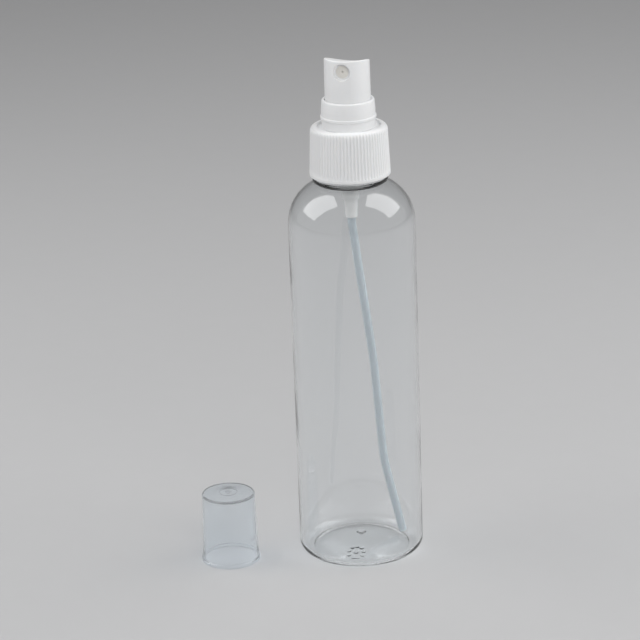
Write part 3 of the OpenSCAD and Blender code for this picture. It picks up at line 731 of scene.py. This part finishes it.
class SPRAYBOTTLE_OT_dip_tube(Operator):
    """Bend the milky dip tube along its route and give it its wall"""
    bl_idname = "spray_bottle.make_dip_tube"
    bl_label = "Dip tube"

    def execute(self, context):
        s = sizes()
        lean = math.radians(8)
        points = [(x * math.cos(lean), x * math.sin(lean), z) for x, z in tube_route(s)]
        tube = wire("dip_tube_sleeve", points, s.tube_r, 32)
        weld(tube)
        bpy.ops.mesh.normals_make_consistent(inside=False)
        apply_modifier(tube, "SOLIDIFY", thickness=s.tube_wall, offset=-1, use_even_offset=True)
        pick(tube)
        bpy.ops.object.shade_smooth_by_angle(angle=math.radians(40))
        paint(tube, moulded("milky_tube", finishes().milky, 0.3, grain=0.05, mottle=0.04,
                            Transmission_Weight=0.3, IOR=1.5, Subsurface_Weight=0.15,
                            Subsurface_Radius=(1, 1.1, 1.2), Subsurface_Scale=0.001))
        settle(tube, "pump", "milky_tube", "dip_tube")
        return {"FINISHED"}


def helix(outer_r, wire_r, low, high, turns, steps=40, flat=0.75):
    """Points of a coil that lies flat for part of a turn at each end."""
    r = outer_r - wire_r
    points = []
    for i in range(turns * steps + 1):
        wound = i / steps
        rise = max(0, min(1, (wound - flat) / (turns - 2 * flat)))
        a = 2 * math.pi * wound
        points.append((r * math.cos(a), r * math.sin(a),
                       low + wire_r + (high - low - 2 * wire_r) * rise))
    return points


class SPRAYBOTTLE_OT_springs(Operator):
    """Wind the return spring and the precompression spring at rest"""
    bl_idname = "spray_bottle.make_springs"
    bl_label = "Springs"

    def execute(self, context):
        steel = moulded("spring_steel", finishes().steel, 0.22, grain=0.05, grain_size=0.15,
                        Metallic=1.0)
        rows = (
            ("return_coil", SPRING_LOW, SPRING_HIGH, 0.25 * MM, 7, "pump", "return_spring",
             "actuator_press", SPRING_LOW.z),
            ("precompression_coil", COIL_LOW, COIL_HIGH, 0.175 * MM, 3, "stem", "piston_spring",
             "piston_slip", COIL_HIGH.z),
        )
        for name, low, high, wire_r, turns, body, node, joint, anchor in rows:
            coil = wire(name, helix(high.x, wire_r, low.z, high.z, turns), wire_r, 12)
            weld(coil)
            fill_ends(coil)
            tidy_mesh(coil, 50)
            paint(coil, steel)
            settle(coil, body, "spring_steel", node)
            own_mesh(coil)
        return {"FINISHED"}


class SPRAYBOTTLE_OT_overcap(Operator):
    """Mould the clear overcap: flared lip, seat, and a plain gate ring on its closed end"""
    bl_idname = "spray_bottle.make_overcap"
    bl_label = "Overcap"

    def execute(self, context):
        top = CAP_HIGH.z
        lip_r = (CAP_HIGH.x - CAP_LOW.x) / 2
        seat_r, top_r, wall, end = 9.43 * MM, 9.45 * MM, 0.6 * MM, 0.9 * MM
        low_r, mouth_r = seat_r + wall, lip_r - wall
        ring_out, ring_in, ring_z = 3.35 * MM, 2.95 * MM, top - 0.14 * MM
        pit_r, pit_z, nub_low_r, nub_r, nub_z = (
            1.15 * MM, top - 0.25 * MM, 0.7 * MM, 0.55 * MM, top - 0.05 * MM)
        profile = rounded([
            (mouth_r, 0), (mouth_r + 0.1 * MM, 0), (lip_r, 0, 0.28 * MM),
            (lip_r, 1.1 * MM, 0.35 * MM), (low_r, 1.55 * MM, 0.4 * MM),
            (top_r, top - 0.9 * MM), (top_r, top, 0.85 * MM),
            (ring_out, top, 0.1 * MM), (ring_out, ring_z, 0.05 * MM),
            (ring_in, ring_z, 0.05 * MM), (ring_in, top, 0.1 * MM),
            (pit_r, top, 0.1 * MM), (pit_r, pit_z, 0.1 * MM),
            (nub_low_r, pit_z, 0.1 * MM), (nub_r, nub_z, 0.1 * MM), (0, nub_z),
            (0, top - end), (top_r - wall, top - end, 0.35 * MM),
            (seat_r, 4 * MM, 0.5 * MM), (seat_r, 1.5 * MM, 0.2 * MM),
            (mouth_r, 1.2 * MM, 0.2 * MM), (mouth_r, 0),
        ], steps=6)
        cap = tidy_mesh(lathe("overcap_shell", profile, 160), 35)
        cap.location = CAP_AXIS
        clear = moulded("clear_cap", finishes().cap_tint, 0.06, grain=0.01, mottle=0.01,
                        wave=0.015, Transmission_Weight=0.92, IOR=1.5)
        paint(cap, lit_through(clear, (0.88, 0.9, 0.92, 1)))
        settle(cap, "overcap", "clear_cap", "overcap")
        return {"FINISHED"}


class SPRAYBOTTLE_OT_inner_parts(Operator):
    """Finish the pieces that keep their solid's shape, from the nozzle insert to the gasket"""
    bl_idname = "spray_bottle.finish_inner_parts"
    bl_label = "Inner parts"

    def execute(self, context):
        f = finishes()
        glow = dict(Subsurface_Weight=0.2, Subsurface_Radius=(1.4, 1.5, 1.5),
                    Subsurface_Scale=0.001, IOR=1.5)
        rows = (
            # The insert's warm, darker colour is painted shade of the recess it sits in
            ("nozzle_insert", "warm_insert", f.insert_white_with_painted_shade, 0.4, glow),
            ("stem", "white_stem", f.white, 0.38, glow),
            ("stem_seal", "elastomer_seal", f.seal, 0.6, {}),
            ("piston", "natural_piston", f.natural, 0.4, glow),
            ("valve_rod", "natural_rod", f.natural, 0.4, glow),
            ("housing", "natural_housing", f.natural, 0.36, glow),
            ("inlet_ball", "steel_ball", f.steel, 0.08, dict(Metallic=1.0)),
            ("neck_gasket", "soft_gasket", f.gasket, 0.6, {}),
        )
        for node, name, base, roughness, sockets in rows:
            paint(frame["nodes"][node], moulded(name, base, roughness, grain=0.03, **sockets))
        return {"FINISHED"}


class SPRAYBOTTLE_OT_stage(Operator):
    """Set the pale floor with its swept-up backdrop, the softboxes and the camera"""
    bl_idname = "spray_bottle.set_stage"
    bl_label = "Stage"

    def execute(self, context):
        floor_w, floor_y, backdrop_h, sweep = 5, -0.9, 2.5, 0.6
        back_y = floor_y + floor_w / 2 - NEAR
        deselect()
        bpy.ops.mesh.primitive_plane_add(size=floor_w, location=(0, floor_y, 0))
        floor = context.object
        floor.name = "stage_floor"
        bpy.ops.object.transform_apply(location=True)
        select_where(floor, lambda p: p.y > back_y)
        bpy.ops.mesh.extrude_region_move(TRANSFORM_OT_translate={"value": (0, 0, backdrop_h)})
        select_where(floor, lambda p: p.y > back_y and p.z < NEAR)
        bpy.ops.mesh.select_mode(type="EDGE")
        bpy.ops.mesh.bevel(offset=sweep, segments=24, affect="EDGES")
        bpy.ops.object.mode_set(mode="OBJECT")
        bpy.ops.object.shade_smooth()
        paint(floor, moulded("stage_paper", finishes().floor, 0.9, grain=0.05, mottle=0.01,
                             grain_size=2.0, Specular_IOR_Level=0.1))

        for name, x in (("softbox_left", -0.58), ("softbox_right", 0.58)):
            self.softbox(name, (x, 0.05, 0.69), (0.6, 0.8), 3.4)
        front = self.softbox("softbox_front", (0.35, -1.05, 0.75), (0.8, 0.5), 5.4)
        front.visible_glossy = front.visible_transmission = False
        world = context.scene.world or bpy.data.worlds.new("World")
        context.scene.world = world
        world.use_nodes = True
        sky = world.node_tree.nodes["Background"]
        sky.inputs["Color"].default_value = (1, 1, 1, 1)
        sky.inputs["Strength"].default_value = 0.36
        self.camera(context)
        context.scene.view_settings.view_transform = "Standard"
        return {"FINISHED"}

    def softbox(self, name, place, size, power):
        """An area lamp of the given size and power in watts, turned to the middle of the bottle."""
        lamp = bpy.data.lights.new(name, "AREA")
        lamp.shape = "RECTANGLE"
        lamp.size, lamp.size_y = size
        lamp.energy = power
        obj = bpy.data.objects.new(name, lamp)
        bpy.context.scene.collection.objects.link(obj)
        obj.location = place
        aim = Vector((0, 0, 0.09)) - Vector(place)
        obj.rotation_euler = aim.to_track_quat("-Z", "Y").to_euler()
        return obj

    def camera(self, context):
        """The camera, given by its place, how far it looks down, and its roll."""
        pitch, roll = math.radians(19.43), math.radians(2.05)
        ahead = Vector((0, math.cos(pitch), -math.sin(pitch)))
        up = Vector((0, math.sin(pitch), math.cos(pitch)))
        right = Vector((1, 0, 0))
        across = math.cos(roll) * right - math.sin(roll) * up
        upright = math.sin(roll) * right + math.cos(roll) * up
        place = Vector((-0.01218, -0.92537, 0.41275))
        lens = bpy.data.cameras.new("camera")
        lens.sensor_width, lens.lens = 36, 157.5
        obj = bpy.data.objects.new("camera", lens)
        context.scene.collection.objects.link(obj)
        turned = Matrix((across, upright, -ahead)).transposed().to_4x4()
        obj.matrix_world = Matrix.Translation(place) @ turned
        context.scene.camera = obj


class SPRAYBOTTLE_PT_panel(Panel):
    """Lists the pieces in the 3D view's sidebar"""
    bl_idname = "SPRAYBOTTLE_PT_panel"
    bl_label = "Spray Bottle"
    bl_space_type = "VIEW_3D"
    bl_region_type = "UI"
    bl_category = "Spray Bottle"

    def draw(self, context):
        column = self.layout.column()
        for settings in (sizes(), finishes()):
            for key in settings.__annotations__:
                column.prop(settings, key)
        for piece in PIECES:
            column.operator(piece.bl_idname)


PIECES = (
    SPRAYBOTTLE_OT_bottle, SPRAYBOTTLE_OT_closure, SPRAYBOTTLE_OT_collar, SPRAYBOTTLE_OT_actuator,
    SPRAYBOTTLE_OT_dip_tube, SPRAYBOTTLE_OT_springs, SPRAYBOTTLE_OT_overcap,
    SPRAYBOTTLE_OT_inner_parts, SPRAYBOTTLE_OT_stage,
)
CLASSES = (SprayBottleSizes, SprayBottleFinishes, *PIECES, SPRAYBOTTLE_PT_panel)


def register():
    for made in CLASSES:
        bpy.utils.register_class(made)
    bpy.types.Scene.spray_bottle_sizes = PointerProperty(type=SprayBottleSizes)
    bpy.types.Scene.spray_bottle_finishes = PointerProperty(type=SprayBottleFinishes)


def unregister():
    del bpy.types.Scene.spray_bottle_finishes
    del bpy.types.Scene.spray_bottle_sizes
    for made in reversed(CLASSES):
        bpy.utils.unregister_class(made)


def main():
    register()
    # What a new Blender file holds besides the frame's bodies and solids
    for unused in [o for o in bpy.context.scene.objects
                   if not o.name.startswith("body:") and "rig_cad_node" not in o]:
        bpy.data.objects.remove(unused)
    for piece in PIECES:
        group, name = piece.bl_idname.split(".")
        getattr(getattr(bpy.ops, group), name)()


if __name__ == "__main__":
    main()
